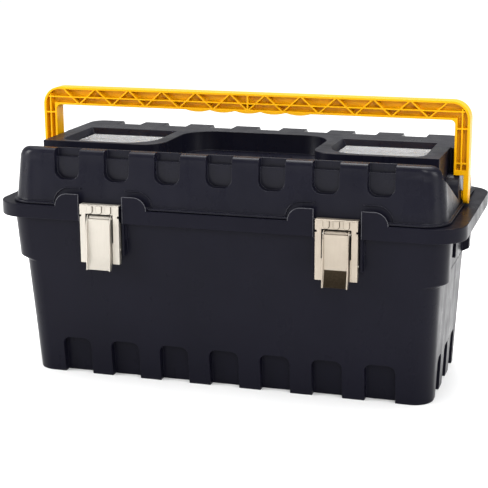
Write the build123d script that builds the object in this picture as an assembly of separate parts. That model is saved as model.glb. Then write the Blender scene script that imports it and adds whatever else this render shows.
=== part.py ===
from build123d import *
import math
import os

os.makedirs("parts", exist_ok=True)

# Frame: +X along the length, -Y the front with the latches, +Z up, z = 0 at the feet.
# Every size is in millimetres.

# tub
RIM_BOTTOM, RIM_TOP = 181.0, 196.0
TUB_BASE_X, TUB_BASE_Y = 224.5, 88.0
TUB_STEP_X, TUB_SHOULDER_X, TUB_TOP_X, TUB_TOP_Y = 230.2, 238.5, 240.0, 108.0
STEP_LOW, STEP_HIGH = 129.5, 133.5
RIM_Y = 115.0
RIM_X, RIM_R = 256.0, 34.0
END_RECESS_Y, GUSSET_Y = 68.0, 40.0
WALL = 3.0
FLOOR_Z = 8.0
CORNER_R = 24.0

# castellations, the same pitch on the tub's foot and on the lid's edge
PITCH = 57.0
NOTCH_RANGE = range(-3, 4)
FOOT_NOTCH_HALF, FOOT_NOTCH_Z, FOOT_NOTCH_DEPTH = 16.3, 43.0, 9.0
END_NOTCH_HALF, END_NOTCH_DEPTH, END_NOTCH_Y = 12.0, 6.0, (-45.0, 0.0, 45.0)
LID_NOTCH_HALF, LID_NOTCH_Z, LID_LEDGE_Z = 14.0, 223.5, 247.0
REAR_NOTCH_Y, REAR_NOTCH_SLOPE = 84.0, 5.0

# lid
LID_BOTTOM, LIP_TOP, LID_TOP = 196.4, 199.0, 256.0
LID_BASE_X, LID_BASE_Y, LID_TOP_X, LID_TOP_Y = 237.5, 108.0, 233.0, 103.0
LID_R, LID_END_R, LID_EDGE_R = 24.0, 14.0, 5.5
LIP_X, LIP_Y = 240.0, 112.0
LID_WALL = 2.8
CHANNEL_FRONT, CHANNEL_REAR, CHANNEL_Z = -90.0, -53.0, 231.0
RECESS_HALF, RECESS_REAR, RECESS_R, RECESS_Z = 84.0, 55.0, 35.0, 234.0
FLARE = 27.0
WINDOW_Z, COVER_TOP, SEAT_Z, BIN_Z = 256.0, 249.0, 246.3, 218.0
WINDOW_IN, WINDOW_OUT, WINDOW_FRONT, WINDOW_REAR = 98.0, 204.0, -46.0, 45.0
WINDOW_BEVEL, WINDOW_CURVE, WINDOW_CORNER = 4.5, 36.0, 9.0
COVER_PIVOT_Y, COVER_PIVOT_Z, COVER_PEG_R = 36.0, 247.3, 1.4
END_FACE_X = 221.0

# carry handle
PIVOT_Y, PIVOT_Z = 10.0, 206.5
FOLD_DEG = 65.0
HANDLE_X, HANDLE_TOP, BAR_H, BAR_Y, ARM_W = 244.0, 308.0, 20.0, 18.0, 16.0
PEG_R, PEG_HOLE_R = 5.0, 5.06
HUB_R = 23.5

# lid hinge
HINGE_Y, HINGE_Z, HINGE_X = 120.0, 201.0, 129.0
KNUCKLE_R, HINGE_PIN_R, HINGE_HOLE_R = 5.0, 2.0, 2.05

# latches
LATCH_X = 129.0
EAR_GAP, EAR_TOP, EAR_OUT, EAR_R = 25.0, 210.0, 52.0, 14.0
PAD_Y = -109.5
PIN_A = (-115.5, 186.0)
PIN_B = (-114.0, 153.0)
HASP_HALF, HASP_BOTTOM, HASP_TOP = 22.2, 137.0, 200.5
LEVER_HALF, LEVER_BOTTOM = 13.6, 130.5
SHEET = 1.2
RIVET_R = 1.6

# tote tray
TRAY_Z, TRAY_TOP, TRAY_HANDLE_TOP = 118.0, 178.0, 208.0
TRAY_BASE_X, TRAY_BASE_Y, TRAY_TOP_X, TRAY_TOP_Y = 214.0, 88.0, 219.0, 94.0


def ring(z, half_x, half_y, radius):
    """Rounded rectangle face, centred on the Z axis."""
    return (Pos(0, 0, z) * RectangleRounded(2 * half_x, 2 * half_y, radius)).face()


def stack(*rings):
    """Solid of straight-sided layers between rounded rectangles (z, half_x, half_y, radius)."""
    layers = [loft([ring(*a), ring(*b)], ruled=True) for a, b in zip(rings, rings[1:])]
    solid = layers[0]
    for layer in layers[1:]:
        solid = solid + layer
    return solid


def block(x0, x1, y0, y1, z0, z1):
    """Axis-aligned box from its limits."""
    return Pos((x0 + x1) / 2, (y0 + y1) / 2, (z0 + z1) / 2) * Box(x1 - x0, y1 - y0, z1 - z0)


def rod(x0, x1, y, z, radius):
    """Cylinder along X."""
    return Pos((x0 + x1) / 2, y, z) * (Rot(0, 90, 0) * Cylinder(radius, x1 - x0))


def prism_x(points, x0, x1):
    """Polygon in the YZ plane, extruded along X."""
    wire = Polyline(*[(x0, y, z) for y, z in points], close=True)
    return extrude(Face(Wire(wire.edges())), amount=x1 - x0, dir=(1, 0, 0))


def prism_z(points, z0, z1):
    """Polygon in the XY plane, extruded along Z."""
    wire = Polyline(*[(x, y, z0) for x, y in points], close=True)
    return extrude(Face(Wire(wire.edges())), amount=z1 - z0, dir=(0, 0, 1))


def prism_y(points, y0, y1):
    """Polygon in the XZ plane, extruded along Y."""
    wire = Polyline(*[(x, y0, z) for x, z in points], close=True)
    return extrude(Face(Wire(wire.edges())), amount=y1 - y0, dir=(0, 1, 0))


def both_x(shape):
    """The shape and its mirror image across the YZ plane."""
    return shape + mirror(shape, about=Plane.YZ)


def tub_half_y(z):
    """Half depth of the tub's outside at height z."""
    return TUB_BASE_Y + (TUB_TOP_Y - TUB_BASE_Y) * z / RIM_BOTTOM


def foot_notch(grow):
    """Recess in the front of the tub's foot, parallel to the leaning wall, grown on all sides."""
    half = FOOT_NOTCH_HALF + grow
    tool = block(-half, half, -70, grow, -12, FOOT_NOTCH_Z + grow)
    top = tool.edges().filter_by(Axis.Y).group_by(Axis.Z)[-1]
    tool = fillet(top, 8)
    lean = math.degrees(math.atan2(TUB_TOP_Y - TUB_BASE_Y, RIM_BOTTOM))
    return Pos(0, FOOT_NOTCH_DEPTH - TUB_BASE_Y, 0) * (Rot(lean, 0, 0) * tool)


def end_notch(grow):
    """Recess in the end of the tub's foot, grown on all sides."""
    half = END_NOTCH_HALF + grow
    tool = block(-grow, 60, -half, half, -12, FOOT_NOTCH_Z + grow)
    top = tool.edges().filter_by(Axis.X).group_by(Axis.Z)[-1]
    tool = fillet(top, 7)
    lean = math.degrees(math.atan2(TUB_STEP_X - TUB_BASE_X, STEP_LOW))
    return Pos(TUB_BASE_X - END_NOTCH_DEPTH, 0, 0) * (Rot(0, lean, 0) * tool)


def foot_notches(grow):
    """All recesses around the foot."""
    front = foot_notch(grow)
    end = end_notch(grow)
    tools = []
    for i in NOTCH_RANGE:
        tools.append(Pos(i * PITCH, 0, 0) * front)
        tools.append(Pos(i * PITCH, 0, 0) * mirror(front, about=Plane.XZ))
    for y in END_NOTCH_Y:
        tools.append(Pos(0, y, 0) * end)
        tools.append(Pos(0, y, 0) * mirror(end, about=Plane.YZ))
    return tools


def end_recess(grow):
    """Finger room in the end of the tub's upper part, flush with the lower wall, grown on all sides."""
    half = END_RECESS_Y + grow
    low_x = TUB_STEP_X + 0.3 - grow
    high_x = low_x + 2.3
    low_z, high_z = STEP_LOW - 4 - grow, RIM_BOTTOM + grow
    points = [(low_x, low_z), (high_x, high_z), (262, high_z), (262, low_z)]
    return prism_y(points, -half, half)


def ear(side):
    """Raised ear of the rim band on one side of a latch gap, at x = 0 of the latch."""
    a, b = (EAR_GAP, EAR_OUT) if side > 0 else (-EAR_OUT, -EAR_GAP)
    plate = block(a, b, -RIM_Y, 2.6 - RIM_Y, RIM_TOP - 4, EAR_TOP)
    edges = plate.edges().filter_by(Axis.Y).group_by(Axis.Z)[-1].sort_by(Axis.X)
    outer = edges[-1] if side > 0 else edges[0]
    plate = fillet(outer, EAR_R - 0.2)
    return plate


def hinge_knuckle(x0, x1, arm):
    """Hinge barrel with its arm, bored for the pin."""
    barrel = rod(x0, x1, HINGE_Y, HINGE_Z, KNUCKLE_R)
    return (barrel + arm) - rod(x0 - 1, x1 + 1, HINGE_Y, HINGE_Z, HINGE_HOLE_R)


def tub_body():
    """Deep tub with castellated foot, flanged rim, side grips, latch pads and hinge knuckles."""
    outer = stack(
        (0, TUB_BASE_X, TUB_BASE_Y, CORNER_R - 2),
        (STEP_LOW, TUB_STEP_X, tub_half_y(STEP_LOW), CORNER_R),
        (STEP_HIGH, TUB_SHOULDER_X, tub_half_y(STEP_HIGH), CORNER_R),
        (RIM_BOTTOM, TUB_TOP_X, TUB_TOP_Y, CORNER_R),
    )
    outer = outer + extrude(ring(RIM_BOTTOM, TUB_TOP_X, TUB_TOP_Y, CORNER_R), RIM_TOP - RIM_BOTTOM)
    rim = extrude(ring(RIM_BOTTOM, RIM_X, RIM_Y, RIM_R), RIM_TOP - RIM_BOTTOM)
    depth = RIM_TOP - RIM_BOTTOM - 2
    hollow = extrude(ring(RIM_BOTTOM - 1, RIM_X - WALL, RIM_Y - WALL, RIM_R - WALL), depth)
    body = outer + (rim - hollow)
    tip = RIM_X - WALL
    gusset = prism_y([(230, 185), (236, 193), (tip, 193), (tip, 181), (230, 155)], -1.5, 1.5)
    for y in (-GUSSET_Y, GUSSET_Y):
        body = body + both_x(Pos(0, y, 0) * gusset)
    for side in (-1, 1):
        centre = Pos(side * LATCH_X, 0, 0)
        body = body + centre * ear(-1) + centre * ear(1)
        body = body - centre * block(-EAR_GAP, EAR_GAP, -RIM_Y - 1, PAD_Y, RIM_BOTTOM - 1, RIM_TOP + 1)
        body = body + centre * block(-28, 28, PAD_Y, -100, 164, RIM_TOP)
        for rib in (-25.0, 25.0):
            body = body + centre * block(rib - 1.4, rib + 1.4, -114.0, -100, 146, RIM_BOTTOM + 1)
    cavity = stack(
        (FLOOR_Z, TUB_BASE_X - WALL, TUB_BASE_Y - WALL + 0.9, CORNER_R - 5),
        (STEP_LOW, TUB_STEP_X - WALL, tub_half_y(STEP_LOW) - WALL, CORNER_R - WALL),
        (STEP_HIGH + 2, TUB_SHOULDER_X - WALL, tub_half_y(STEP_HIGH + 2) - WALL, CORNER_R - WALL),
        (RIM_BOTTOM, TUB_TOP_X - WALL, TUB_TOP_Y - WALL, CORNER_R - WALL),
        (RIM_TOP + 20, TUB_TOP_X - WALL, TUB_TOP_Y - WALL, CORNER_R - WALL),
    )
    for tool in foot_notches(WALL - 0.4):
        cavity = cavity - tool
    cavity = cavity - both_x(end_recess(WALL))
    gussets_kept = both_x(block(225, 260, -GUSSET_Y - 1.5, 1.5 - GUSSET_Y, 150, RIM_TOP))
    gussets_kept = gussets_kept + mirror(gussets_kept, about=Plane.XZ)
    body = body - (both_x(end_recess(0.0)) - gussets_kept) - cavity
    for tool in foot_notches(0.0):
        body = body - tool
    body = body - extrude(ring(-1, 208, 71, 16), 6)
    body = body + both_x(block(204, 228, -36, 36, 106, TRAY_Z))
    for side in (-1, 1):
        for x, z in rivet_places(side):
            body = body - Pos(x, PAD_Y + 1.2, z) * (Rot(90, 0, 0) * Cylinder(RIVET_R, 4.8))
        for a, b in ((-24.0, -8.0), (8.0, 24.0)):
            arm = block(a, b, RIM_Y - 2, HINGE_Y, 188, HINGE_Z - 1)
            body = body + Pos(side * HINGE_X, 0, 0) * hinge_knuckle(a, b, arm)
        body = body - Pos(side * HINGE_X, 0, 0) * rod(-24.5, 24.5, HINGE_Y, HINGE_Z, HINGE_HOLE_R)
        body = body - Pos(side * HINGE_X, 0, 0) * rod(-8, 8, HINGE_Y, HINGE_Z, KNUCKLE_R + 0.6)
    return body


def window_outline(shrink, side):
    """Organiser window outline, with its inner front corner rounded along the centre recess."""
    rear = WINDOW_REAR - shrink
    points = [(WINDOW_OUT - shrink, rear), (WINDOW_IN + shrink, rear)]
    corners = ((WINDOW_IN, 1, WINDOW_CURVE, 180, 7), (WINDOW_OUT, -1, WINDOW_CORNER + 5, 270, 4))
    for edge, inward, radius, start, count in corners:
        centre_x, centre_y = edge + inward * radius, WINDOW_FRONT + radius
        for i in range(count):
            a = math.radians(start + 90 * i / (count - 1))
            reach = radius - shrink
            points.append((centre_x + reach * math.cos(a), centre_y + reach * math.sin(a)))
    return [(side * x, y) for x, y in points]


def window_voids(side):
    """Bevelled surround, cover seat and bin of one organiser, as the space they leave."""
    faces = []
    for shrink, z in ((WINDOW_BEVEL, COVER_TOP), (-0.6, WINDOW_Z + 1)):
        outline = Polyline(*[(x, y, z) for x, y in window_outline(shrink, side)], close=True)
        faces.append(Face(Wire(outline.edges())))
    bevel = loft(faces, ruled=True)
    seat = prism_z(window_outline(WINDOW_BEVEL, side), SEAT_Z, COVER_TOP)
    x0, x1 = sorted((side * (WINDOW_IN + WINDOW_BEVEL), side * (WINDOW_OUT - WINDOW_BEVEL)))
    bin_void = prism_z(window_outline(8.5, side), BIN_Z, SEAT_Z)
    bin_void = bin_void + block(x0, x1, 31.0, WINDOW_REAR - WINDOW_BEVEL, BIN_Z, SEAT_Z)
    return bevel + seat + bin_void


def cover_pivots(side, radius):
    """Pivot pegs of an organiser cover, or their holes when grown."""
    reach = WINDOW_BEVEL - 1.0
    low, high = sorted((side * (WINDOW_IN + reach), side * (WINDOW_OUT - reach)))
    return rod(low, high, COVER_PIVOT_Y, COVER_PIVOT_Z, radius)


def arm_sector(grow, x0, x1):
    """Swing space of one handle arm above its hub, grown on all sides."""
    a = math.radians(FOLD_DEG)
    gap = 10.4 + grow
    low_y = PIVOT_Y - gap * math.cos(a)
    low_z = PIVOT_Z - gap * math.sin(a)
    front = CHANNEL_FRONT - grow
    front_z = low_z + (low_y - front) / math.tan(a)
    rear = PIVOT_Y + 10.6 + grow
    points = [(rear, low_z), (rear, 330), (front, 330), (front, front_z), (low_y, low_z)]
    return prism_x(points, x0, x1) - rod(x0 - 1, x1 + 1, PIVOT_Y, PIVOT_Z, HUB_R - grow)


def recess_void(grow, z0):
    """Centre recess of the lid, rounded at the rear and flared at the front."""
    half = RECESS_HALF + grow
    rear = RECESS_REAR + grow
    pan = block(-half, half, CHANNEL_REAR - 10, rear, z0, LID_TOP + 10)
    edges = pan.edges().filter_by(Axis.Z).group_by(Axis.Y)[-1]
    pan = fillet(edges, RECESS_R + grow)
    front = CHANNEL_REAR
    flare = block(RECESS_HALF - 1, RECESS_HALF + FLARE, front - 10, front + FLARE, z0, LID_TOP + 10)
    round_off = Pos(RECESS_HALF + FLARE, front + FLARE, (z0 + LID_TOP + 10) / 2)
    flare = flare - round_off * Cylinder(FLARE - grow, 200)
    return pan + both_x(flare)


def lid_notch(depth_y, z0, radius, grow):
    """U-shaped recess in the lid's front edge, grown on all sides."""
    half = LID_NOTCH_HALF + grow
    tool = block(-half, half, -125, depth_y + grow, z0 - grow, LID_TOP + 12)
    if radius > 0:
        tool = fillet(tool.edges().filter_by(Axis.Y).group_by(Axis.Z)[0], radius)
    return tool


def lid_form(inset, bottom):
    """Drafted lid block, rounded more over its ends than over its long edges, inset on all sides."""
    end_r, edge_r = LID_END_R - inset, LID_EDGE_R - inset
    rings = [(bottom, LID_BASE_X - inset, LID_BASE_Y - inset, LID_R - inset)]
    for turn in (0, 20, 38, 52, 64, 76, 88):
        a = math.radians(turn)
        drop = end_r * (1 - math.sin(a))
        in_x = end_r * (1 - math.cos(a))
        below = max(edge_r - drop, 0.0)
        in_y = edge_r - math.sqrt(edge_r * edge_r - below * below)
        half_x, half_y = LID_TOP_X - inset - in_x, LID_TOP_Y - inset - in_y
        rings.append((LID_TOP - inset - drop, half_x, half_y, LID_R - 3 - inset - (in_x + in_y) / 2))
    return stack(*rings)


def notch_slope(grow):
    """Sloped entry at the top of a rear notch, grown on all sides."""
    half = LID_NOTCH_HALF + grow
    y0, z0 = REAR_NOTCH_Y - grow, LID_TOP - REAR_NOTCH_SLOPE - grow
    run = REAR_NOTCH_SLOPE + grow + 5
    return prism_x([(y0 + 1, z0 - 1), (y0 + 1, z0 + run), (y0 - run, z0 + run)], -half, half)


def lid_shell():
    """Lid with castellated edges, handle channel, centre recess and two organiser bins."""
    outer = lid_form(0.0, LID_BOTTOM)
    inner = lid_form(LID_WALL, LID_BOTTOM - 1)
    thick = 2.5
    reach = END_FACE_X + thick
    walls = block(-reach, reach, CHANNEL_FRONT - thick, CHANNEL_REAR + thick, CHANNEL_Z - thick, LID_TOP + 5)
    walls = walls + recess_void(thick, RECESS_Z - thick)
    for side in (-1, 1):
        walls = walls + prism_z(window_outline(-3.0, side), BIN_Z - thick, LID_TOP + 5)
    walls = walls + both_x(arm_sector(thick, END_FACE_X - thick, 247))
    walls = walls + both_x(rod(229, 242, PIVOT_Y, PIVOT_Z, 9.4))
    front = lid_notch(-97.0, LID_NOTCH_Z, 10, 0.0)
    front_wall = lid_notch(-97.0, LID_NOTCH_Z, 12, thick)
    deep = lid_notch(CHANNEL_FRONT - 2.2, LID_LEDGE_Z, 0, 0.0)
    deep_wall = lid_notch(CHANNEL_FRONT - 2.2, LID_LEDGE_Z, 0, thick)
    rear = mirror(lid_notch(-REAR_NOTCH_Y, LID_NOTCH_Z, 10, 0.0), about=Plane.XZ) + notch_slope(0.0)
    rear_wall = mirror(lid_notch(-REAR_NOTCH_Y, LID_NOTCH_Z, 12, thick), about=Plane.XZ) + notch_slope(thick)
    for i in NOTCH_RANGE:
        walls = walls + Pos(i * PITCH, 0, 0) * (front_wall + deep_wall + rear_wall)
    body = (outer - inner) + (walls & outer)
    lip = extrude(ring(LID_BOTTOM, LIP_X, LIP_Y, LID_R + 3), LIP_TOP - LID_BOTTOM)
    lip = lip - extrude(ring(LID_BOTTOM - 1, LID_BASE_X - 3, LID_BASE_Y - 3, LID_R - 3), 10)
    lip = lip - both_x(rod(LID_BASE_X + 0.2, 242, PIVOT_Y, PIVOT_Z, 9.8))
    body = body + lip
    body = body - block(-END_FACE_X, END_FACE_X, CHANNEL_FRONT, CHANNEL_REAR, CHANNEL_Z, LID_TOP + 10)
    body = body - recess_void(0.0, RECESS_Z)
    body = body - both_x(arm_sector(0.0, END_FACE_X, 250))
    for i in NOTCH_RANGE:
        body = body - Pos(i * PITCH, 0, 0) * (front + deep + rear)
    for side in (-1, 1):
        body = body - window_voids(side)
        body = body - cover_pivots(side, COVER_PEG_R + 0.06)
        low, high = sorted((side * 150.2, side * 151.8))
        body = body + block(low, high, -31.0, 37.5, BIN_Z - 1, 238)
    body = body - both_x(rod(220, 250, PIVOT_Y, PIVOT_Z, PEG_HOLE_R))
    for side in (-1, 1):
        arm = block(-7.7, 7.7, LID_BASE_Y - 1, HINGE_Y, HINGE_Z - 1, HINGE_Z + 4)
        body = body + Pos(side * HINGE_X, 0, 0) * hinge_knuckle(-7.7, 7.7, arm)
    return body


def hinge_pin(side):
    """Steel pin of one lid hinge."""
    return Pos(side * HINGE_X, 0, 0) * rod(-24, 24, HINGE_Y, HINGE_Z, HINGE_PIN_R)


def bar_rib(x0, z0, x1, z1, width):
    """Straight rib between two points in the handle's plane, through its full thickness."""
    length = math.hypot(x1 - x0, z1 - z0)
    angle = math.degrees(math.atan2(z1 - z0, x1 - x0))
    centre = Pos((x0 + x1) / 2, PIVOT_Y, (z0 + z1) / 2)
    return centre * (Rot(0, -angle, 0) * Box(length, BAR_Y, width))


def handle_ribs():
    """Truss ribs of the bar and cross ribs of the arms."""
    low, high = HANDLE_TOP - BAR_H + 1, HANDLE_TOP - 1
    ribs = [bar_rib(0, low, 0, high, 2.0)]
    half_period = 20.0
    for i in range(11):
        x0, x1 = i * half_period, (i + 1) * half_period
        z0, z1 = (high, low) if i % 2 else (low, high)
        for s in (-1, 1):
            ribs.append(bar_rib(s * x0, z0, s * x1, z1, 1.6))
    mid = HANDLE_TOP - 0.55 * BAR_H
    ribs.append(bar_rib(6 - HANDLE_X, mid, HANDLE_X - 6, mid, 1.6))
    for s in (-1, 1):
        for z in (279.0, 242.0):
            ribs.append(bar_rib(s * (HANDLE_X - ARM_W), z, s * HANDLE_X, z, 1.8))
        ribs.append(bar_rib(s * (HANDLE_X - 8.5), 232, s * (HANDLE_X - 8.5), 300, 1.6))
    solid = ribs[0]
    for rib in ribs[1:]:
        solid = solid + rib
    return solid


def carry_handle():
    """Arched carry handle: ribbed bar, two arms and the pegs it turns on."""
    y0, y1 = PIVOT_Y - BAR_Y / 2, PIVOT_Y + BAR_Y / 2
    low = HANDLE_TOP - BAR_H
    inner_x = HANDLE_X - ARM_W
    blank = block(-HANDLE_X, HANDLE_X, y0, y1, PIVOT_Z, HANDLE_TOP)
    blank = fillet(blank.edges().filter_by(Axis.Y).group_by(Axis.Z)[-1], 20)
    gap = block(-inner_x, inner_x, y0 - 1, y1 + 1, PIVOT_Z - 5, low)
    gap = fillet(gap.edges().filter_by(Axis.Y).group_by(Axis.Z)[-1], 5)
    body = blank - gap
    pocket = block(3 - HANDLE_X, HANDLE_X - 3, y0 - 1, PIVOT_Y - 1, HUB_R + PIVOT_Z + 5, HANDLE_TOP - 2.4)
    pocket = fillet(pocket.edges().filter_by(Axis.Y).group_by(Axis.Z)[-1], 17)
    island = block(-inner_x - 2.4, inner_x + 2.4, y0 - 2, PIVOT_Y + 1, 200, low + 2.4)
    pocket = (pocket - island) - handle_ribs()
    rear_pocket = mirror(pocket, about=Plane.XZ.offset(-PIVOT_Y))
    body = body - pocket - rear_pocket
    for i in range(-2, 3):
        sag, half = 2.0, 13.5
        radius = (half * half + sag * sag) / (2 * sag)
        bump = Pos(i * 29.0, PIVOT_Y, low + radius - sag) * (Rot(90, 0, 0) * Cylinder(radius, BAR_Y))
        bump = bump & block(i * 29 - half, i * 29 + half, y0, y1, low - sag - 1, low + 0.5)
        body = body + bump
    for s in (-1, 1):
        x0, x1 = sorted((s * (inner_x - 5), s * (HANDLE_X - 5.5)))
        body = body - rod(x0, x1, PIVOT_Y, PIVOT_Z, HUB_R + 1.0)
        x0, x1 = sorted((s * (HANDLE_X - 5.5), s * HANDLE_X))
        body = body + rod(x0, x1, PIVOT_Y, PIVOT_Z, 9.0)
        x0, x1 = sorted((s * (HANDLE_X - 14), s * (HANDLE_X - 3)))
        body = body + rod(x0, x1, PIVOT_Y, PIVOT_Z, PEG_R)
    return body


def organizer_cover(side):
    """Clear cover of one organiser bin, with pivot pegs at the rear and a lip at the front."""
    plate = prism_z(window_outline(WINDOW_BEVEL + 0.4, side), SEAT_Z + 0.1, COVER_TOP - 0.2)
    low, high = sorted((side * 158.0, side * 174.0))
    lip = block(low, high, -38.4, -35.4, COVER_TOP - 0.5, COVER_TOP + 1.6)
    pegs = cover_pivots(side, COVER_PEG_R)
    return plate + lip + pegs


def lever(side):
    """Latch lever: a channel with side flanges, turning on the base pin."""
    flange = prism_x(
        [
            (-111.6, PIN_A[1] + 1.5),
            (-111.6, 149.0),
            (-117.0, 141.0),
            (-119.5, LEVER_BOTTOM),
            (-125.0, LEVER_BOTTOM),
            (-123.0, 150.0),
            (-122.6, 180.0),
            (-119.4, PIN_A[1] + 1.5),
        ],
        LEVER_HALF - SHEET,
        LEVER_HALF,
    )
    cap = rod(LEVER_HALF - SHEET, LEVER_HALF, PIN_A[0], PIN_A[1], 4.0)
    flanges = both_x(flange + cap)
    web = prism_x(
        [
            (-119.0, 185.6),
            (-120.2, 185.6),
            (-120.2, 145.0),
            (-124.2, 131.0),
            (-123.0, 131.0),
            (-119.0, 145.0),
        ],
        -LEVER_HALF + 0.6,
        LEVER_HALF - 0.6,
    )
    body = flanges + web
    body = body - rod(-20, 20, PIN_A[0], PIN_A[1], 1.55)
    body = body - rod(-20, 20, PIN_B[0], PIN_B[1], 1.3)
    return Pos(side * LATCH_X, 0, 0) * body


def hasp(side):
    """Latch hasp: two legs, side flanges and a ribbed claw that hooks over the lid's lip."""
    front, back = -118.2, -117.0
    plate = block(-HASP_HALF, HASP_HALF, front, back, HASP_BOTTOM, HASP_TOP)
    plate = plate - block(-15.6, 15.6, front - 1, back + 1, 160, 190.6)
    plate = plate - block(-14.3, 14.3, front - 1, back + 1, HASP_BOTTOM - 1, 161)
    claw = block(-HASP_HALF, HASP_HALF, front, -109.8, HASP_TOP - SHEET, HASP_TOP)
    body = plate + claw
    body = fillet(body.edges().filter_by(Axis.X).group_by(Axis.Z)[-1].sort_by(Axis.Y)[0], 1.1)
    flange = prism_x(
        [(back, 185.0), (-111.2, 180.0), (-111.2, 145.0), (-113.5, HASP_BOTTOM), (back, HASP_BOTTOM)],
        HASP_HALF - SHEET,
        HASP_HALF,
    )
    body = body + both_x(flange)
    for x in (-10.5, 0.0, 10.5):
        rib = block(x - 3.0, x + 3.0, front - 1.3, front + 0.2, 191.2, 199.6)
        rib = fillet(rib.edges().filter_by(Axis.Y).group_by(Axis.Z)[0], 2.9)
        body = body + rib
    for s in (-1, 1):
        low, high = sorted((s * (HASP_HALF - 1.8), s * (HASP_HALF + 1)))
        body = body - block(low, high, front - 1, back + 0.1, 187.2, 189.4)
    body = body - rod(-30, 30, PIN_B[0], PIN_B[1], 1.25)
    return Pos(side * LATCH_X, 0, 0) * body


def latch_base(side):
    """Sheet bracket on the tub whose rolled top carries the lever's pin."""
    strap_z = PIN_A[1] - 3.0
    plate = block(-11.5, 11.5, PAD_Y - SHEET, PAD_Y, 168, strap_z + SHEET)
    strap = block(-11.5, 11.5, PIN_A[0], PAD_Y, strap_z, strap_z + SHEET)
    roll = rod(-11.5, 11.5, PIN_A[0], PIN_A[1], 3.0)
    body = plate + strap + roll - rod(-12, 12, PIN_A[0], PIN_A[1], 1.5)
    body = Pos(side * LATCH_X, 0, 0) * body
    for x, z in rivet_places(side):
        body = body - Pos(x, PAD_Y, z) * (Rot(90, 0, 0) * Cylinder(RIVET_R, 10))
    return body


def rivet_places(side):
    """Where the rivets of one latch base stand."""
    return [(side * LATCH_X + dx, 173.5) for dx in (-6.5, 6.5)]


def latch_rivets(side):
    """Rivets that hold a latch base to the tub's pad."""
    group = []
    for x, z in rivet_places(side):
        turn = Rot(90, 0, 0)
        head = Pos(x, PAD_Y - SHEET - 0.5, z) * (turn * Cylinder(2.8, 1.0))
        head = fillet(head.edges().group_by(Axis.Y)[0], 0.6)
        shank = Pos(x, PAD_Y + 1.2, z) * (turn * Cylinder(RIVET_R, 2 * (1.2 + SHEET)))
        group.append(head + shank)
    return Compound(children=[Solid(s.wrapped) for g in group for s in g.solids()])


def lever_pin(side):
    """Pin through the base's roll and the lever."""
    return Pos(side * LATCH_X, 0, 0) * rod(-14.6, 14.6, PIN_A[0], PIN_A[1], 1.5)


def hasp_pin(side):
    """Pin through the lever and the hasp's flanges."""
    return Pos(side * LATCH_X, 0, 0) * rod(-23.0, 23.0, PIN_B[0], PIN_B[1], 1.25)


def tote_tray():
    """Lift-out tray with dividers and a central carrying bridge."""
    outer = stack((TRAY_Z, TRAY_BASE_X, TRAY_BASE_Y, 18), (TRAY_TOP, TRAY_TOP_X, TRAY_TOP_Y, 20))
    outer = outer + extrude(ring(TRAY_TOP - 3, TRAY_TOP_X + 4, TRAY_TOP_Y + 4, 24), 3)
    inner = stack(
        (TRAY_Z + 2.5, TRAY_BASE_X - 2.2, TRAY_BASE_Y - 2.2, 16),
        (TRAY_TOP + 0.5, TRAY_TOP_X - 2.2, TRAY_TOP_Y - 2.2, 18),
    )
    body = outer - inner
    for x in (-120.0, 120.0):
        body = body + block(x - 0.9, x + 0.9, -88, 88, TRAY_Z + 1, 160)
    body = body + block(-120, 120, -0.9, 0.9, TRAY_Z + 1, 165)
    for x in (-65.0, 65.0):
        body = body + block(x - 5, x + 5, -6, 6, TRAY_Z + 1, TRAY_HANDLE_TOP - 2)
    bar = block(-70, 70, -8, 8, TRAY_HANDLE_TOP - 13, TRAY_HANDLE_TOP)
    bar = fillet(bar.edges().filter_by(Axis.X), 4)
    return body + bar


SHAPES = {
    "tub_body": tub_body(),
    "lid_shell": lid_shell(),
    "hinge_pin_left": hinge_pin(-1),
    "hinge_pin_right": hinge_pin(1),
    "carry_handle": carry_handle(),
    "organizer_cover_left": organizer_cover(-1),
    "organizer_cover_right": organizer_cover(1),
    "tote_tray": tote_tray(),
    "latch_base_left": latch_base(-1),
    "latch_base_right": latch_base(1),
    "latch_rivets_left": latch_rivets(-1),
    "latch_rivets_right": latch_rivets(1),
    "lever_pin_left": lever_pin(-1),
    "lever_pin_right": lever_pin(1),
    "latch_lever_left": lever(-1),
    "latch_lever_right": lever(1),
    "hasp_pin_left": hasp_pin(-1),
    "hasp_pin_right": hasp_pin(1),
    "latch_hasp_left": hasp(-1),
    "latch_hasp_right": hasp(1),
}

for name, shape in SHAPES.items():
    solids = shape.solids()
    print(name, len(solids), round(shape.volume / 1000, 2), shape.bounding_box())
    export_step(shape, f"parts/{name}.step")
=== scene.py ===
# %% [markdown]
# # A plastic toolbox with a tray, dressed for the camera
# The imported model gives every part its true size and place. This lesson puts real surfaces
# on it: soft moulded edges, grained polypropylene, nickel-plated sheet and clear covers.
# All lengths are in metres, in the model's own frame: +X along the box, -Y the front, +Z up.

# %% The frame comes first
import math

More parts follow.
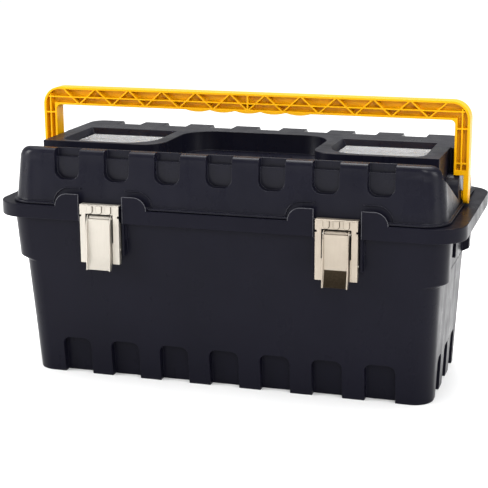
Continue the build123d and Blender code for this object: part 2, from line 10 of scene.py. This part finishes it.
import bmesh
import bpy
import numpy as np
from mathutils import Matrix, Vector


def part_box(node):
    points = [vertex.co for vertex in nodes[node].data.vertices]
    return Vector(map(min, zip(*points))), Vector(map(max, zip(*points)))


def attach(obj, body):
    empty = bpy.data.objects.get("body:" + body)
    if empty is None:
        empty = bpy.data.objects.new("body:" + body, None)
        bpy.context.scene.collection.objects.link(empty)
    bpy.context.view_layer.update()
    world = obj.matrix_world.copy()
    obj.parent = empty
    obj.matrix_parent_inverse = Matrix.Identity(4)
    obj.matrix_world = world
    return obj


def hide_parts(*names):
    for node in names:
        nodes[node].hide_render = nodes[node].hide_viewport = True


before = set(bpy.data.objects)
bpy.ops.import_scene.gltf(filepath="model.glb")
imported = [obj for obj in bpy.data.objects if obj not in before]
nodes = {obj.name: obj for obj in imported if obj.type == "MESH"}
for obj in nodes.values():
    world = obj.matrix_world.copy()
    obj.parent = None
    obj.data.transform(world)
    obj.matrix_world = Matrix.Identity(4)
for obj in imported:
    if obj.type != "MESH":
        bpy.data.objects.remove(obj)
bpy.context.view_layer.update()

MM = 0.001

# %% [markdown]
# ## Camera, floor and light
# A box reads best from a little above and to one side, through a long lens that keeps its
# edges nearly parallel. The camera is placed by two angles and a distance from a point.
# The floor is a large pale sheet. The light is soft: an even surround that the plastic mirrors,
# a very wide overhead glow that keeps the floor white, and four panels. The two side panels
# draw the streaks down the rounded corners, the other two lift the deck and the front wall.
# Hard lamps would be simpler, but they leave small white spots on smooth plastic.

# %% Camera
CAMERA_AZIMUTH, CAMERA_ELEVATION = math.radians(16.97), math.radians(13.99)
CAMERA_DISTANCE, CAMERA_ROLL = 1.5191, math.radians(-0.27)
CAMERA_TARGET = Vector((-0.0039, -0.0010, 0.1388))
LENS_LENGTH, SENSOR_WIDTH = 99.7, 36.0

camera_data = bpy.data.cameras.new("camera")
camera_data.lens = LENS_LENGTH
camera_data.sensor_width = SENSOR_WIDTH
camera = bpy.data.objects.new("camera", camera_data)
bpy.context.scene.collection.objects.link(camera)
back = Vector((
    math.sin(CAMERA_AZIMUTH) * math.cos(CAMERA_ELEVATION),
    -math.cos(CAMERA_AZIMUTH) * math.cos(CAMERA_ELEVATION),
    math.sin(CAMERA_ELEVATION),
))
camera.location = CAMERA_TARGET + back * CAMERA_DISTANCE
camera.rotation_euler = back.to_track_quat("Z", "Y").to_euler()
camera.rotation_euler.rotate_axis("Z", CAMERA_ROLL)
bpy.context.scene.camera = camera
print("camera stands at", [round(v, 3) for v in camera.location])

# %% Floor and light
FLOOR_SIZE, FLOOR_WHITE = 30.0, (0.93, 0.93, 0.93)
SURROUND_STRENGTH = 0.42
SKY_STRENGTH, SKY_SPREAD, SKY_TILT = 2.3, math.radians(70), math.radians(-8)
MIDDLE_OF_BOX = (0, 0, 0.12)


def plain_material(name, colour, roughness):
    """One-colour material for what is not part of the object."""
    material = bpy.data.materials.new(name)
    material.use_nodes = True
    shader = material.node_tree.nodes["Principled BSDF"]
    shader.inputs["Base Color"].default_value = (*colour, 1)
    shader.inputs["Roughness"].default_value = roughness
    return material


def panel_light(name, place, size, watts):
    """A square area light at a place, turned to face the middle of the box."""
    data = bpy.data.lights.new(name, "AREA")
    data.size = size
    data.energy = watts
    light = bpy.data.objects.new(name, data)
    light.location = place
    away = Vector(place) - Vector(MIDDLE_OF_BOX)
    light.rotation_euler = away.to_track_quat("Z", "Y").to_euler()
    bpy.context.scene.collection.objects.link(light)


bpy.ops.mesh.primitive_plane_add(size=FLOOR_SIZE, location=(0, 0, 0))
floor = bpy.context.object
floor.name = "floor"
floor.data.materials.append(plain_material("floor_white", FLOOR_WHITE, 0.7))

world = bpy.data.worlds.new("studio")
world.use_nodes = True
surround = world.node_tree.nodes["Background"]
surround.inputs["Color"].default_value = (1, 1, 1, 1)
surround.inputs["Strength"].default_value = SURROUND_STRENGTH
bpy.context.scene.world = world
panel_light("left_panel", (-1.5, -0.8, 0.7), 0.7, 24)
panel_light("right_panel", (1.6, -0.6, 0.7), 0.6, 11)
panel_light("top_panel", (0.0, 0.6, 1.9), 1.3, 34)
panel_light("front_panel", (0.9, -2.0, 1.5), 0.9, 26)
sky_data = bpy.data.lights.new("sky", "SUN")
sky_data.energy = SKY_STRENGTH
sky_data.angle = SKY_SPREAD
sky = bpy.data.objects.new("sky", sky_data)
sky.rotation_euler = (SKY_TILT, 0, 0)
bpy.context.scene.collection.objects.link(sky)
bpy.context.scene.view_settings.view_transform = "Standard"

# %% [markdown]
# ## Finishes
# Every finish is a small network of nodes on Object coordinates, so a pattern keeps its size
# in metres whatever the mesh looks like. Six helpers are enough for all of them: a fresh
# material, a noise, a change of range, a mix of two colours, a sum and a bump.

# %% Helpers for node networks
def new_shader(name):
    """A material, its node tree, its Principled shader and its Object coordinates."""
    material = bpy.data.materials.new(name)
    material.use_nodes = True
    tree = material.node_tree
    coords = tree.nodes.new("ShaderNodeTexCoord")
    return material, tree, tree.nodes["Principled BSDF"], coords.outputs["Object"]


def noise(tree, coords, scale, detail=3.0, rough=0.55, stretch=None):
    """Noise of a given scale per metre, stretched by a Mapping node when asked."""
    if stretch is not None:
        mapping = tree.nodes.new("ShaderNodeMapping")
        mapping.inputs["Scale"].default_value = stretch
        tree.links.new(coords, mapping.inputs["Vector"])
        coords = mapping.outputs["Vector"]
    texture = tree.nodes.new("ShaderNodeTexNoise")
    texture.inputs["Scale"].default_value = scale
    texture.inputs["Detail"].default_value = detail
    texture.inputs["Roughness"].default_value = rough
    tree.links.new(coords, texture.inputs["Vector"])
    return texture.outputs["Fac"]


def ramp_to(tree, value, low, high, from_low=0.3, from_high=0.7):
    """Maps a value onto low to high, clamped."""
    remap = tree.nodes.new("ShaderNodeMapRange")
    remap.inputs["From Min"].default_value = from_low
    remap.inputs["From Max"].default_value = from_high
    remap.inputs["To Min"].default_value = low
    remap.inputs["To Max"].default_value = high
    tree.links.new(value, remap.inputs["Value"])
    return remap.outputs["Result"]


def blend_colours(tree, value, first, second):
    """Mixes two colours by a value."""
    mix = tree.nodes.new("ShaderNodeMix")
    mix.data_type = "RGBA"
    mix.inputs["A"].default_value = (*first, 1)
    mix.inputs["B"].default_value = (*second, 1)
    tree.links.new(value, mix.inputs["Factor"])
    return mix.outputs["Result"]


def maths(tree, operation, first, second=None):
    """One Math node on an output and, when given, a second output or a number."""
    node = tree.nodes.new("ShaderNodeMath")
    node.operation = operation
    tree.links.new(first, node.inputs[0])
    if isinstance(second, float):
        node.inputs[1].default_value = second
    elif second is not None:
        tree.links.new(second, node.inputs[1])
    return node.outputs["Value"]


def bump(tree, shader, height, distance, strength, under=None):
    """Adds a bump of a height field to the shader's normal, over an earlier bump when given."""
    node = tree.nodes.new("ShaderNodeBump")
    node.inputs["Distance"].default_value = distance
    node.inputs["Strength"].default_value = strength
    tree.links.new(height, node.inputs["Height"])
    if under is not None:
        tree.links.new(under, node.inputs["Normal"])
    tree.links.new(node.outputs["Normal"], shader.inputs["Normal"])
    return node.outputs["Normal"]


print("noise scales are in waves per metre, bump distances in metres")

# %% [markdown]
# ## Moulded plastic
# Moulded polypropylene has three things to show: a slight cloudiness of the colour, patches
# where handling and the flow of the melt have left it more or less polished, and a fine grain
# from the etched mould. A flat colour with one roughness would look like painted card, so each
# of the three gets its own noise. The black is nearly all reflection: its own colour is close
# to nothing, and the specular level decides how much of the pale floor it gives back.

# %% Moulded plastic
CLOUDS, HANDLING, FLOW_LINES, WALL_WAVES, MOULD_GRAIN = 9.0, 26.0, 70.0, 14.0, 1500.0
DOWN_THE_WALL = (1.0, 1.0, 0.05)


def moulded_plastic(name, dark, light, polished, dull, specular, grain=0.00004):
    """Polypropylene: clouded colour, uneven polish, etched grain and slow waves in the wall."""
    material, tree, shader, coords = new_shader(name)
    cloud = noise(tree, coords, CLOUDS, 4.0)
    tree.links.new(blend_colours(tree, cloud, dark, light), shader.inputs["Base Color"])
    handling = noise(tree, coords, HANDLING, 6.0, 0.65)
    flow = noise(tree, coords, FLOW_LINES, 2.0, 0.5, DOWN_THE_WALL)
    rubbed = ramp_to(tree, handling, polished, dull)
    streaked = ramp_to(tree, flow, -0.05, 0.05)
    tree.links.new(maths(tree, "ADD", rubbed, streaked), shader.inputs["Roughness"])
    shader.inputs["Specular IOR Level"].default_value = specular
    waves = bump(tree, shader, noise(tree, coords, WALL_WAVES, 1.0), 0.0006, 0.5)
    bump(tree, shader, noise(tree, coords, MOULD_GRAIN, 2.0), grain, 0.6, waves)
    return material


BLACK_PLASTIC = moulded_plastic(
    "black_polypropylene",
    (0.0032, 0.0032, 0.0068), (0.0066, 0.0065, 0.0128), 0.24, 0.38, specular=0.165)
TUB_PLASTIC = moulded_plastic(
    "black_tub_polypropylene",
    (0.0032, 0.0031, 0.0062), (0.0062, 0.0060, 0.0115), 0.26, 0.40, specular=0.070)
TRAY_PLASTIC = moulded_plastic(
    "tray_polypropylene",
    (0.012, 0.012, 0.014), (0.018, 0.018, 0.021), 0.40, 0.55, specular=0.3)
YELLOW_PLASTIC = moulded_plastic(
    "yellow_polypropylene",
    (0.70, 0.325, 0.0003), (0.755, 0.380, 0.0005), 0.24, 0.36, specular=0.14, grain=0.00002)
# Painted highlight: a paler, glossier black for the thin light lines along the ears' edges.
HIGHLIGHT_EDGE_PLASTIC = moulded_plastic(
    "painted_highlight_edge_plastic",
    (0.020, 0.020, 0.026), (0.045, 0.045, 0.055), 0.30, 0.46, specular=0.5)
PLASTICS = (BLACK_PLASTIC, TUB_PLASTIC, TRAY_PLASTIC, YELLOW_PLASTIC, HIGHLIGHT_EDGE_PLASTIC)
print("plastics", [plastic.name for plastic in PLASTICS])

# %% [markdown]
# ## Plated metal
# The latches are thin steel sheet with a nickel plating, and the pins are drawn wire. Both are
# one recipe: slow clouds in the tone, and long fine scratches that run the way the metal was
# rolled or drawn. The scratches are an ordinary noise squeezed along one axis by a Mapping
# node, which is cheap, never repeats and stays with the part when it moves.

# %% Plated sheet, its darker copy, drawn wire and painted rib shadows
TONE_CLOUDS, SCRATCHES, SHEET_WAVES = 60.0, 900.0, 45.0
DOWN_THE_SHEET, ALONG_THE_WIRE = (1.0, 1.0, 0.06), (0.05, 1.0, 1.0)
ROUND_THE_RIB = (1.0, 1.0, 0.3)
# Painted shade: the same plating's tones made darker, used for the right latch.
SHADED_TONE_LIGHT, SHADED_TONE_DARK = (0.46, 0.405, 0.335), (0.38, 0.33, 0.27)


def plated_metal(name, waviness, bright, worn, rough_low, rough_high, stretch):
    """Nickel plating: slow tonal clouds, fine drawn scratches and a barely uneven surface."""
    material, tree, shader, coords = new_shader(name)
    shader.inputs["Metallic"].default_value = 1.0
    tone = noise(tree, coords, TONE_CLOUDS, 4.0)
    tree.links.new(blend_colours(tree, tone, worn, bright), shader.inputs["Base Color"])
    lines = noise(tree, coords, SCRATCHES, 3.0, 0.6, stretch)
    tree.links.new(ramp_to(tree, lines, rough_low, rough_high), shader.inputs["Roughness"])
    waves = bump(tree, shader, noise(tree, coords, SHEET_WAVES, 2.0), 0.0004, waviness)
    bump(tree, shader, lines, 0.00001, 0.5, waves)
    return material


SHEET_METAL = plated_metal(
    "nickel_sheet", 0.25, (0.53, 0.495, 0.440), (0.47, 0.44, 0.39), 0.46, 0.58, DOWN_THE_SHEET)
# Painted shade: the right latch's darker copy of the left latch's plating.
SHADED_SHEET_METAL = plated_metal(
    "nickel_sheet_painted_shade", 0.35, SHADED_TONE_LIGHT, SHADED_TONE_DARK, 0.40, 0.54, DOWN_THE_SHEET)
# Painted shade and reflection: the right lever's darker copy of the plating, with the painted tail
# reflection set up below.
TAIL_REFLECTION_METAL = plated_metal(
    "nickel_sheet_shaded_with_tail_reflection", 0.35, SHADED_TONE_LIGHT, SHADED_TONE_DARK, 0.34, 0.48, DOWN_THE_SHEET)
WIRE_METAL = plated_metal(
    "drawn_wire", 0.2, (0.78, 0.77, 0.74), (0.60, 0.59, 0.56), 0.18, 0.30, ALONG_THE_WIRE)
# Painted shadow: dark metal for the lines round the stamped ribs.
RIB_SHADOW_METAL = plated_metal(
    "painted_rib_shadow_metal", 0.2, (0.085, 0.070, 0.052), (0.040, 0.032, 0.024), 0.40, 0.60, ROUND_THE_RIB)
print("metals", SHEET_METAL.name, SHADED_SHEET_METAL.name, WIRE_METAL.name, RIB_SHADOW_METAL.name)

# %% [markdown]
# ## Clear covers
# Two clear lids close the small-parts bins in the deck. Fully clear plastic would vanish over
# the dark bins, while the real covers look milky from their many fine scuffs. So a third of
# the light is scattered at the surface, and the scuffs also make the polish uneven.

# %% Clear plastic
SCUFFS, COVER_WAVES, ALONG_THE_WIPE = 120.0, 30.0, (1.0, 0.3, 1.0)


def clear_plastic(name):
    """Clear moulded cover: see-through, a touch grey, with fine scuffs in its polish."""
    material, tree, shader, coords = new_shader(name)
    scuffs = noise(tree, coords, SCUFFS, 4.0, 0.6, ALONG_THE_WIPE)
    tree.links.new(ramp_to(tree, scuffs, 0.08, 0.16, 0.40, 0.80), shader.inputs["Roughness"])
    tone = blend_colours(tree, scuffs, (0.90, 0.91, 0.92), (0.95, 0.95, 0.96))
    tree.links.new(tone, shader.inputs["Base Color"])
    shader.inputs["Transmission Weight"].default_value = 0.66
    shader.inputs["IOR"].default_value = 1.49
    bump(tree, shader, noise(tree, coords, COVER_WAVES, 2.0), 0.0003, 0.3)
    return material


CLEAR_PLASTIC = clear_plastic("clear_styrene")
print("clear", CLEAR_PLASTIC.name)

# %% [markdown]
# ## Painted reflection on the tail of one lever
# The lower end of the right lever is painted dark and mottled between its two bent sides, which
# stay bright: a painted reflection of the shaded floor that the flared tail faces. A separate dark
# plate would need its own thickness, so the colour changes inside the material instead: a mask
# that is one below a height and between two sides. Both steps fade over a fraction of a millimetre,
# so that the border isn't jagged.

# %% Painted tail reflection
TAIL_TOP_Z, BENT_SIDE, BORDER_FADE = 148.8 * MM, 1.8 * MM, 0.3 * MM
MOTTLING = 500.0
# Painted reflection: dark and light tones of the shaded floor, mirrored in the lever's tail.
TAIL_REFLECTION_DARK, TAIL_REFLECTION_LIGHT = (0.014, 0.010, 0.006), (0.050, 0.038, 0.025)


def below(tree, value, limit):
    """One where the value is under the limit and zero where it is over, with a short fade."""
    return ramp_to(tree, value, 1.0, 0.0, limit - BORDER_FADE, limit + BORDER_FADE)


def paint_tail_reflection(material, top_z, centre_x, half_width):
    """Mixes a painted dark reflection over the sheet where z < top_z and |x - centre_x| <
    half_width.
    """
    tree = material.node_tree
    base = tree.nodes["Principled BSDF"].inputs["Base Color"]
    plated = base.links[0].from_socket
    coords = next(n for n in tree.nodes if n.bl_idname == "ShaderNodeTexCoord").outputs["Object"]
    split = tree.nodes.new("ShaderNodeSeparateXYZ")
    tree.links.new(coords, split.inputs["Vector"])
    aside = maths(tree, "ABSOLUTE", maths(tree, "SUBTRACT", split.outputs["X"], centre_x))
    low, inside = below(tree, split.outputs["Z"], top_z), below(tree, aside, half_width)
    mix = tree.nodes.new("ShaderNodeMix")
    mix.data_type = "RGBA"
    tree.links.new(maths(tree, "MULTIPLY", low, inside), mix.inputs["Factor"])
    tree.links.new(plated, mix.inputs["A"])
    mottling = noise(tree, coords, MOTTLING, 4.0)
    tree.links.new(blend_colours(tree, mottling, TAIL_REFLECTION_DARK, TAIL_REFLECTION_LIGHT), mix.inputs["B"])
    tree.links.new(mix.outputs["Result"], base)


low_corner, high_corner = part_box("latch_lever_right")
lever_middle = (low_corner[0] + high_corner[0]) / 2
lever_half = (high_corner[0] - low_corner[0]) / 2
# Painted reflection: the dark mottled patch on the right lever's tail, between its bent sides.
paint_tail_reflection(TAIL_REFLECTION_METAL, TAIL_TOP_Z, lever_middle, lever_half - BENT_SIDE)
print("painted tail reflection on", TAIL_REFLECTION_METAL.name, "round x =", round(lever_middle, 4))

# %% [markdown]
# ## Soft moulded edges
# A moulded wall has no knife edge: the cutter that made the mould leaves a radius of half a
# millimetre to a millimetre, and that radius is what catches the light. The large shells are
# made from the model's own mesh: its loose triangles are merged, flat neighbours are joined
# into one face, and a Bevel modifier rounds every edge that turns by more than thirty degrees.
# Two cares are needed. A level ring, such as the underside of the rim, would become one face
# with a hole, and the bevel could close that hole, so such faces are cut into convex ones.
# And the large faces must stay flat next to the small new ones, so the shading normals are
# weighted by face area. The handle is rounded without joining its faces first, because its
# many thin ribs would leave faces too long and narrow to shade well.

# %% Rounded copies of the moulded parts
MERGE_DISTANCE, FLAT_TURN, SHARP_TURN = 0.01 * MM, math.radians(0.6), math.radians(30)
LEVEL_OR_END = 0.80


def rounded_copy(node, body, material, width, flatten=True):
    """Copy of a node's mesh, merged and flattened, with its edges rounded by a bevel."""
    mesh = bpy.data.meshes.new(node + "_moulded")
    bm = bmesh.new()
    bm.from_mesh(nodes[node].data)
    bmesh.ops.remove_doubles(bm, verts=bm.verts, dist=MERGE_DISTANCE)
    if flatten:
        bmesh.ops.dissolve_limit(bm, angle_limit=FLAT_TURN, verts=bm.verts, edges=bm.edges)
        cut = [f for f in bm.faces if max(abs(f.normal.x), abs(f.normal.z)) > LEVEL_OR_END]
        bmesh.ops.connect_verts_concave(bm, faces=cut)
    for face in bm.faces:
        face.smooth = True
    bm.to_mesh(mesh)
    bm.free()
    piece = bpy.data.objects.new(node + "_moulded", mesh)
    bpy.context.scene.collection.objects.link(piece)
    mesh.materials.append(material)
    bevel = piece.modifiers.new("edge_radius", "BEVEL")
    bevel.width = width
    bevel.segments = 2
    bevel.limit_method = "ANGLE"
    bevel.angle_limit = SHARP_TURN
    bevel.use_clamp_overlap = False
    weigh = piece.modifiers.new("flat_faces", "WEIGHTED_NORMAL")
    weigh.weight = 100
    weigh.keep_sharp = True
    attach(piece, body)
    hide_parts(node)
    print(piece.name, len(mesh.vertices), "points", len(mesh.polygons), "faces")


rounded_copy("lid_shell", "lid", BLACK_PLASTIC, 0.7 * MM)
rounded_copy("tub_body", "tub", TUB_PLASTIC, 0.7 * MM)
rounded_copy("carry_handle", "handle", YELLOW_PLASTIC, 0.4 * MM, flatten=False)
rounded_copy("tote_tray", "tray", TRAY_PLASTIC, 0.5 * MM)

# %% [markdown]
# ## Arc beads on the lid
# Behind each ear of the rim the lid carries a thin raised line that follows the ear's curve.
# It could be modelled as a groove, but a bead of about a millimetre that lies half in the wall
# shows the same line with far fewer faces. It is a tube: a circle carried along a path whose
# points run up a quarter circle and then level, with the wall's lean taken into account.
# The same tube then serves for the painted highlights on the ears' edges and the painted shadows in
# the latches.

# %% A tube along a path
OUT_OF_THE_FRONT = np.array([0.0, -1.0, 0.0])


def tube_along(path, radius, sides):
    """Points p(i, t) = path(i) + radius * (cos t * across(i) + sin t * out(i)), t once round.

    across(i) lies in the front plane at right angles to the path, out(i) points off the wall.
    """
    tangent = np.gradient(path, axis=0)
    tangent /= np.linalg.norm(tangent, axis=1, keepdims=True)
    across = np.cross(tangent, OUT_OF_THE_FRONT)
    across /= np.linalg.norm(across, axis=1, keepdims=True)
    out = np.cross(across, tangent)
    turn = np.linspace(0, 2 * np.pi, sides, endpoint=False)[None, :, None]
    ring = np.cos(turn) * across[:, None, :] + np.sin(turn) * out[:, None, :]
    return (path[:, None, :] + radius * ring).reshape(-1, 3)


def tube_faces(rings, sides):
    """Quads between ring i and ring i + 1, column j to the next, and one cap at each end."""
    i, j = np.meshgrid(np.arange(rings - 1), np.arange(sides), indexing="ij")
    here, beyond, following = i * sides, (i + 1) * sides, (j + 1) % sides
    corners = [here + j, beyond + j, beyond + following, here + following]
    caps = [list(range(sides)), list(range(rings * sides - 1, (rings - 1) * sides - 1, -1))]
    return np.stack(corners, axis=-1).reshape(-1, 4).tolist() + caps


def tube_piece(name, path, radius, sides, material, body):
    """A named closed tube along a path, its faces turned outwards, riding on a body."""
    mesh = bpy.data.meshes.new(name)
    points = tube_along(path, radius, sides)
    mesh.from_pydata(points.tolist(), [], tube_faces(len(path), sides))
    bm = bmesh.new()
    bm.from_mesh(mesh)
    bmesh.ops.recalc_face_normals(bm, faces=bm.faces)
    for face in bm.faces:
        face.smooth = len(face.verts) == 4
    bm.to_mesh(mesh)
    bm.free()
    piece = bpy.data.objects.new(name, mesh)
    bpy.context.scene.collection.objects.link(piece)
    mesh.materials.append(material)
    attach(piece, body)
    print(piece.name, len(mesh.vertices), "points")


# %% Arc beads
LATCH_X, EAR_INNER, EAR_OUTER = 129 * MM, 25 * MM, 52 * MM
BEAD_R, BEAD_GAP, BEAD_CURVE, BEAD_PROUD = 0.7 * MM, 4.0 * MM, 17 * MM, 0.15 * MM
BEAD_START_Z, BEAD_STEPS, BEAD_LEVEL_STEPS, BEAD_SIDES = 198 * MM, 24, 8, 12
WALL_FOOT_Y, WALL_FOOT_Z, WALL_LEAN = -108 * MM, 196.4 * MM, 5 / 59.6

# The four flanks of the two latches: the latch's side, the flank's hand and the name's ending.
FLANKS = [(-1, -1, "left_out"), (-1, 1, "left_in"), (1, -1, "right_in"), (1, 1, "right_out")]

for side, hand, ending in FLANKS:
    turn = np.linspace(0, np.pi / 2, BEAD_STEPS)
    x = EAR_OUTER + BEAD_GAP - BEAD_CURVE * (1 - np.cos(turn))
    z = BEAD_START_Z + BEAD_CURVE * np.sin(turn)
    x = np.append(x, np.linspace(x[-1], EAR_INNER, BEAD_LEVEL_STEPS)[1:])
    z = np.append(z, np.full(BEAD_LEVEL_STEPS - 1, z[-1]))
    y = WALL_FOOT_Y + (z - WALL_FOOT_Z) * WALL_LEAN - BEAD_PROUD
    path = np.stack([side * LATCH_X + hand * x, y, z], axis=1)
    name = "arc_bead_" + ending
    tube_piece(name, path, BEAD_R, BEAD_SIDES, BLACK_PLASTIC, "lid")

# %% [markdown]
# ## Painted highlight on the ears' edges
# The rounded edge of each ear catches the light in a thin pale line, and that highlight is
# painted: a paler, glossier black on a tube. A wider bevel on the whole tub would show it too,
# but would blunt every other edge. So it is one more tube, thinner than a match, let half into
# the edge: up the side next to the latch, across the top and round the quarter circle to the band.

# %% Painted highlight on the ear edges
EAR_TOP_Z, BAND_FOOT_Z, EAR_CURVE = 210 * MM, 181 * MM, 14 * MM
EAR_FRONT_Y, EDGE_R = -114.8 * MM, 0.42 * MM
RISE_STEPS, TOP_STEPS, CURVE_STEPS, EDGE_SIDES = 5, 6, 16, 10

for side, hand, ending in FLANKS:
    turn = np.linspace(np.pi / 2, 0, CURVE_STEPS)
    curve_x = EAR_OUTER - EAR_CURVE + EAR_CURVE * np.cos(turn)
    curve_z = EAR_TOP_Z - EAR_CURVE + EAR_CURVE * np.sin(turn)
    top_x = np.linspace(EAR_INNER, EAR_OUTER - EAR_CURVE, TOP_STEPS)[1:-1]
    x = np.concatenate([np.full(RISE_STEPS, EAR_INNER), top_x, curve_x])
    rise_z = np.linspace(BAND_FOOT_Z, EAR_TOP_Z, RISE_STEPS)
    z = np.concatenate([rise_z, np.full(len(top_x), EAR_TOP_Z), curve_z])
    path = np.stack([side * LATCH_X + hand * x, np.full(len(x), EAR_FRONT_Y), z], axis=1)
    name = "ear_edge_highlight_" + ending
    # Painted highlight on the ear's edge.
    tube_piece(name, path, EDGE_R, EDGE_SIDES, HIGHLIGHT_EDGE_PLASTIC, "tub")

# %% [markdown]
# ## Sheet-metal latches
# Each latch is a hasp that hooks over the lid and a lever that pulls it tight, both folded
# from sheet. Folded sheet has a small radius at each bend, so both are rounded copies as well,
# with a bevel of a third of a millimetre. The right latch gets a darker copy of the left one's
# plating, a painted shade, and only the right lever carries the painted tail reflection.

# %% Sheet-metal latches
BEND_RADIUS = 0.3 * MM
# The right latch's sheets are painted shade: a darker copy of the same plating.
LATCH_SHEETS = [("left", SHEET_METAL, SHEET_METAL), ("right", SHADED_SHEET_METAL, TAIL_REFLECTION_METAL)]

for side, hasp_metal, lever_metal in LATCH_SHEETS:
    rounded_copy("latch_hasp_" + side, "hasp_" + side, hasp_metal, BEND_RADIUS)
    rounded_copy("latch_lever_" + side, "lever_" + side, lever_metal, BEND_RADIUS)

# %% [markdown]
# ## Painted shadow lines round the stamped ribs
# The hasp plate is stiffened by three short ribs, pressed out by about a millimetre. The shade
# that falls in the crease along each rib's foot is painted on. A dark line in the material would
# look printed on, so each painted shadow is one thin tube with a surface of its own: down one
# side of the rib, round its foot and up the other side.

# %% Painted rib shadow lines
RIB_PITCH, RIB_HALF, RIB_FOOT_Z, RIB_TOP_Z = 10.5 * MM, 3.15 * MM, 194.2 * MM, 199.2 * MM
PLATE_FRONT_Y, SHADOW_LINE_R = -118.25 * MM, 0.42 * MM
FOOT_STEPS, SIDE_STEPS, SHADOW_LINE_SIDES = 20, 5, 10

# Painted shadow: one dark tube along each rib's foot and sides.
for side, latch_x in (("left", -LATCH_X), ("right", LATCH_X)):
    for rank in (1, 2, 3):
        turn = np.linspace(np.pi, 2 * np.pi, FOOT_STEPS)
        foot_x = latch_x + (rank - 2) * RIB_PITCH + RIB_HALF * np.cos(turn)
        foot_z = RIB_FOOT_Z + RIB_HALF * np.sin(turn)
        side_z = np.linspace(RIB_TOP_Z, RIB_FOOT_Z, SIDE_STEPS + 1)[:-1]
        down_x, up_x = np.full(SIDE_STEPS, foot_x[0]), np.full(SIDE_STEPS, foot_x[-1])
        x = np.concatenate([down_x, foot_x, up_x])
        z = np.concatenate([side_z, foot_z, side_z[::-1]])
        path = np.stack([x, np.full(len(x), PLATE_FRONT_Y), z], axis=1)
        name = "rib_shadow_line_%s_%d" % (side, rank)
        tube_piece(name, path, SHADOW_LINE_R, SHADOW_LINE_SIDES, RIB_SHADOW_METAL, "hasp_" + side)

# %% [markdown]
# ## Parts that keep their own shape
# Brackets, rivets, pins and the clear covers are small or already exact, so they stay as the
# model has them. They only get a finish in each of their material slots.

# %% Finishes on the parts that keep their own shape
# The right latch's base gets the darker copy of the plating, a painted shade.
FINISH_OF = {
    "latch_base_left": SHEET_METAL, "latch_base_right": SHADED_SHEET_METAL,
    "latch_rivets_left": WIRE_METAL, "latch_rivets_right": WIRE_METAL,
    "lever_pin_left": WIRE_METAL, "lever_pin_right": WIRE_METAL,
    "hasp_pin_left": WIRE_METAL, "hasp_pin_right": WIRE_METAL,
    "hinge_pin_left": WIRE_METAL, "hinge_pin_right": WIRE_METAL,
    "organizer_cover_left": CLEAR_PLASTIC, "organizer_cover_right": CLEAR_PLASTIC,
}
for node, finish in FINISH_OF.items():
    if not nodes[node].material_slots:
        nodes[node].data.materials.append(finish)
    for place in nodes[node].material_slots:
        place.material = finish
print("finished", len(FINISH_OF), "parts as they are")
